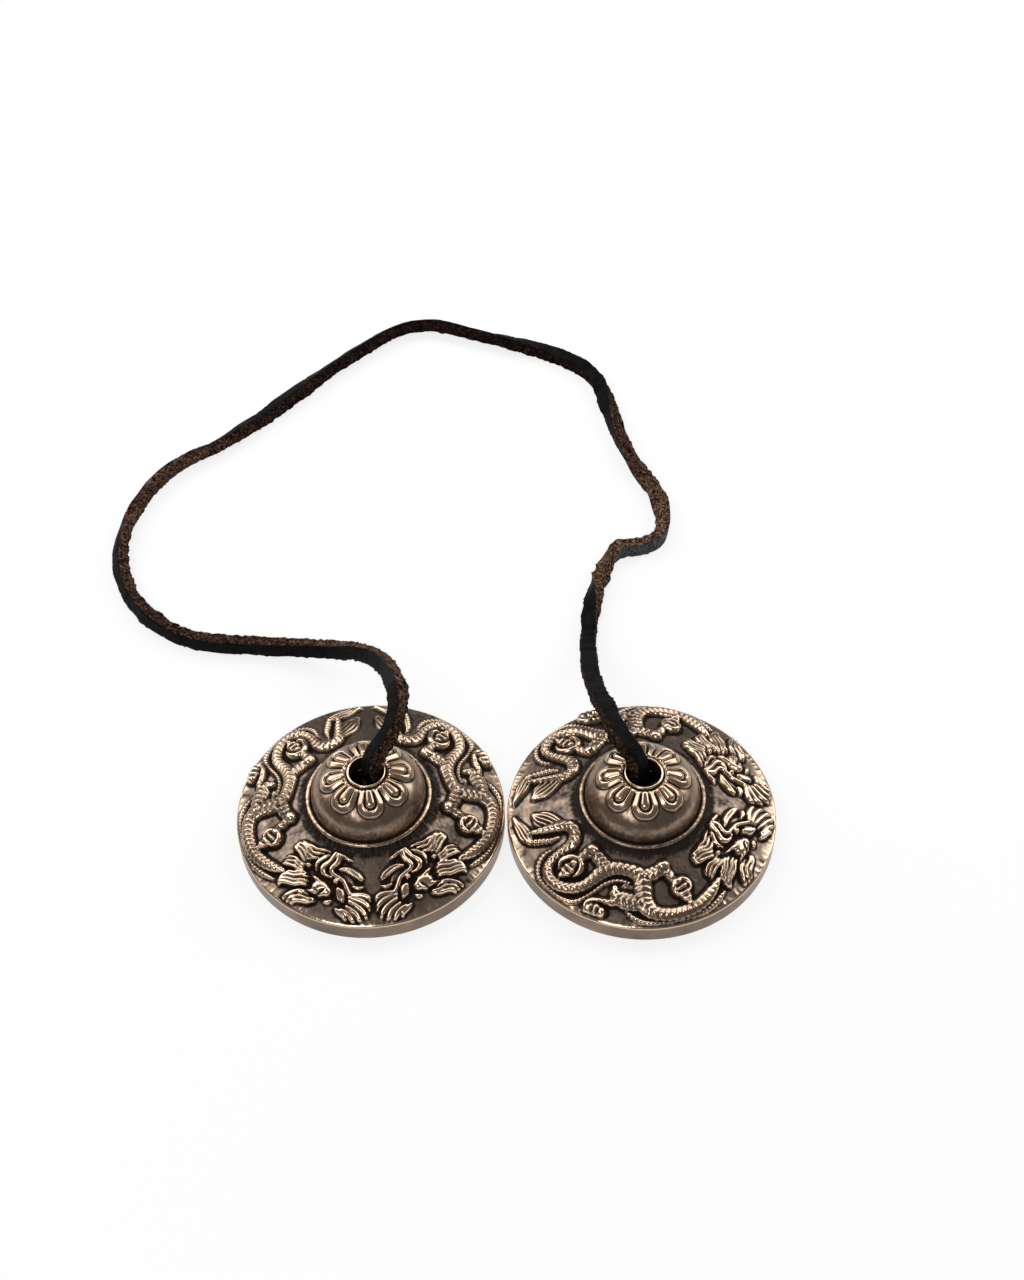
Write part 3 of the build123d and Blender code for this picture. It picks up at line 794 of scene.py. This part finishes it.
# The grey on the black grain side, where the wear is highest, is rubbed leather and painted sheen
grey_sheen = ramp(tree, fibre.outputs["Fac"], [(0.40, (0.030, 0.028, 0.029)), (0.60, (0.130, 0.121, 0.125))])
rubbed_and_sheen = add_node(tree, "ShaderNodeMapRange", From_Min=0.75, From_Max=0.95)
tree.links.new(worn.outputs["Fac"], rubbed_and_sheen.inputs["Value"])
grain_side = mix(tree, rubbed_and_sheen.outputs["Result"], black, grey_sheen)
tree.links.new(mix(tree, grain.outputs["Fac"], suede, grain_side), shader.inputs["Base Color"])
tree.links.new(value_ramp(tree, grain.outputs["Fac"], [(0.0, 0.95), (1.0, 0.60)]),
               shader.inputs["Roughness"])
bump = add_node(tree, "ShaderNodeBump", Strength=0.8, Distance=0.0003)
tree.links.new(fibre.outputs["Fac"], bump.inputs["Height"])
tree.links.new(bump.outputs["Normal"], shader.inputs["Normal"])
thong.data.materials.append(leather)
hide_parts("thong_left_end", "thong_left_rise", "thong_loop", "thong_right_rise", "thong_right_end")
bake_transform(thong)

# The two knots
# The thong's own ends, each tied in an overhand knot inside a boss, where it is too thick for the bore.
# Pulled tight, the strip is thinner there than along its length.
knot_width = 0.0036
knot_depth = 0.0030
knot_wear = 0.3
knot_turns = [
    (-1.0, 1.0, 17.6), (-0.8, 0.8, 15.5), (-0.2, 0.2, 13.0), (1.0, -1.4, 11.0), (3.0, -1.2, 11.2),
    (3.4, 1.6, 12.8), (0.6, 3.8, 14.6), (-3.0, 2.8, 15.9), (-3.9, -0.8, 16.0), (-1.2, -3.8, 16.0),
    (2.8, -3.0, 16.0), (4.0, 0.4, 15.8), (2.4, 3.4, 14.6), (-1.0, 3.4, 12.8), (-3.2, 1.0, 11.2),
    (-2.2, -1.6, 10.2), (-0.2, -1.0, 9.0), (0.2, 0.2, 7.6),
]
for side, across, seed in (("left", -1, 31), ("right", 1, 32)):
    ties = [(across * (pair_offset + x) * mm, y * mm, z * mm) for x, y, z in knot_turns]
    steps, places = along_route(ties, 0.0004)
    rolled = np.radians(30 + 9000 * steps)
    worn = np.full(len(steps), knot_wear)
    knot, _ = strip_mesh(f"{side}_knot", places, rolled, worn, knot_width, knot_depth, around=20, seed=seed,
                         hairs=150, rest_on_table=False)
    knot.data.materials.append(leather)
    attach(knot, "tied_ends")
    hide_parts(f"knot_{side}")

# The table, light and camera
# A plain white table, soft light from large panels at the left, right and back and a small one in front, and
# the camera that looks down on the pair.
floor_mesh = bpy.data.meshes.new("table")
reach = 3.0
floor_mesh.from_pydata([(-reach, -reach, 0), (reach, -reach, 0), (reach, reach, 0), (-reach, reach, 0)], [],
                       [(0, 1, 2, 3)])
floor = add_object("table", floor_mesh)
floor.location = (0, 0.06, 0)
white = bpy.data.materials.new("white_table")
white.use_nodes = True
tree = white.node_tree
tree.nodes.clear()
rays = add_node(tree, "ShaderNodeLightPath")
seen = add_node(tree, "ShaderNodeMath", operation="MAXIMUM")
tree.links.new(rays.outputs["Is Camera Ray"], seen.inputs[0])
tree.links.new(rays.outputs["Is Glossy Ray"], seen.inputs[1])
seen_through = add_node(tree, "ShaderNodeMath", operation="MAXIMUM")
tree.links.new(seen.outputs[0], seen_through.inputs[0])
tree.links.new(rays.outputs["Is Transmission Ray"], seen_through.inputs[1])
spot = add_node(tree, "ShaderNodeTexCoord")
away = add_node(tree, "ShaderNodeVectorMath", operation="LENGTH")
tree.links.new(spot.outputs["Object"], away.inputs[0])
whiter = add_node(tree, "ShaderNodeMapRange", From_Min=0.13, From_Max=0.28, To_Min=0.82, To_Max=1.0)
tree.links.new(away.outputs["Value"], whiter.inputs["Value"])
glow_share = add_node(tree, "ShaderNodeMath", operation="MULTIPLY")
tree.links.new(seen_through.outputs[0], glow_share.inputs[0])
tree.links.new(whiter.outputs["Result"], glow_share.inputs[1])
cloth = add_node(tree, "ShaderNodeBsdfDiffuse", Color=(0.92, 0.92, 0.92, 1))
glow = add_node(tree, "ShaderNodeEmission", Color=(1, 1, 1, 1), Strength=1.0)
mixed = add_node(tree, "ShaderNodeMixShader")
tree.links.new(glow_share.outputs[0], mixed.inputs[0])
tree.links.new(cloth.outputs[0], mixed.inputs[1])
tree.links.new(glow.outputs[0], mixed.inputs[2])
surface = add_node(tree, "ShaderNodeOutputMaterial")
tree.links.new(mixed.outputs[0], surface.inputs["Surface"])
floor_mesh.materials.append(white)

world = bpy.data.worlds.new("studio")
bpy.context.scene.world = world
world.use_nodes = True
tree = world.node_tree
tree.nodes.clear()
rays = add_node(tree, "ShaderNodeLightPath")
room = add_node(tree, "ShaderNodeBackground", Color=(0.97, 0.98, 1.0, 1), Strength=0.17)
backdrop = add_node(tree, "ShaderNodeBackground", Color=(1, 1, 1, 1), Strength=1.0)
mixed = add_node(tree, "ShaderNodeMixShader")
tree.links.new(rays.outputs["Is Camera Ray"], mixed.inputs[0])
tree.links.new(room.outputs[0], mixed.inputs[1])
tree.links.new(backdrop.outputs[0], mixed.inputs[2])
sky = add_node(tree, "ShaderNodeOutputWorld")
tree.links.new(mixed.outputs[0], sky.inputs["Surface"])

lit = Vector((0, 0.05, 0))        # where all the panels face
for name, place, size, watts in (
    ("left_panel", (-0.56, 0.36, 0.52), 0.70, 4.2),
    ("right_panel", (0.57, 0.38, 0.52), 0.60, 3.6),
    ("back_panel", (0.00, 0.60, 0.70), 0.60, 2.0),
    ("front_panel", (-0.22, -0.48, 0.72), 0.32, 1.8),
):
    lamp = bpy.data.lights.new(name, "AREA")
    lamp.size = size
    lamp.energy = watts
    panel = add_object(name, lamp)
    panel.location = place
    panel.rotation_euler = (lit - Vector(place)).to_track_quat("-Z", "Y").to_euler()

target = np.array([0.000706, 0.051589, 0.008])
distance = 0.5
elevation = math.radians(50.660)
yaw = math.radians(1.903)
roll = math.radians(-1.299)
along_table = math.cos(elevation)
back = np.array([math.sin(yaw) * along_table, -math.cos(yaw) * along_table, math.sin(elevation)])
right = np.cross([0, 0, 1], back)
right /= np.linalg.norm(right)
up = np.cross(back, right)
tilted_right = right * math.cos(roll) + up * math.sin(roll)
tilted_up = up * math.cos(roll) - right * math.sin(roll)
lens = bpy.data.cameras.new("view")
lens.lens = 54.47
lens.sensor_width = 36.0
lens.clip_start = 0.01
camera = add_object("view", lens)
stand = np.eye(4)
stand[:3, :3] = np.stack([tilted_right, tilted_up, back], 1)
stand[:3, 3] = target + distance * back
camera.matrix_world = stand.T
bpy.context.scene.camera = camera
bpy.context.scene.view_settings.view_transform = "Standard"
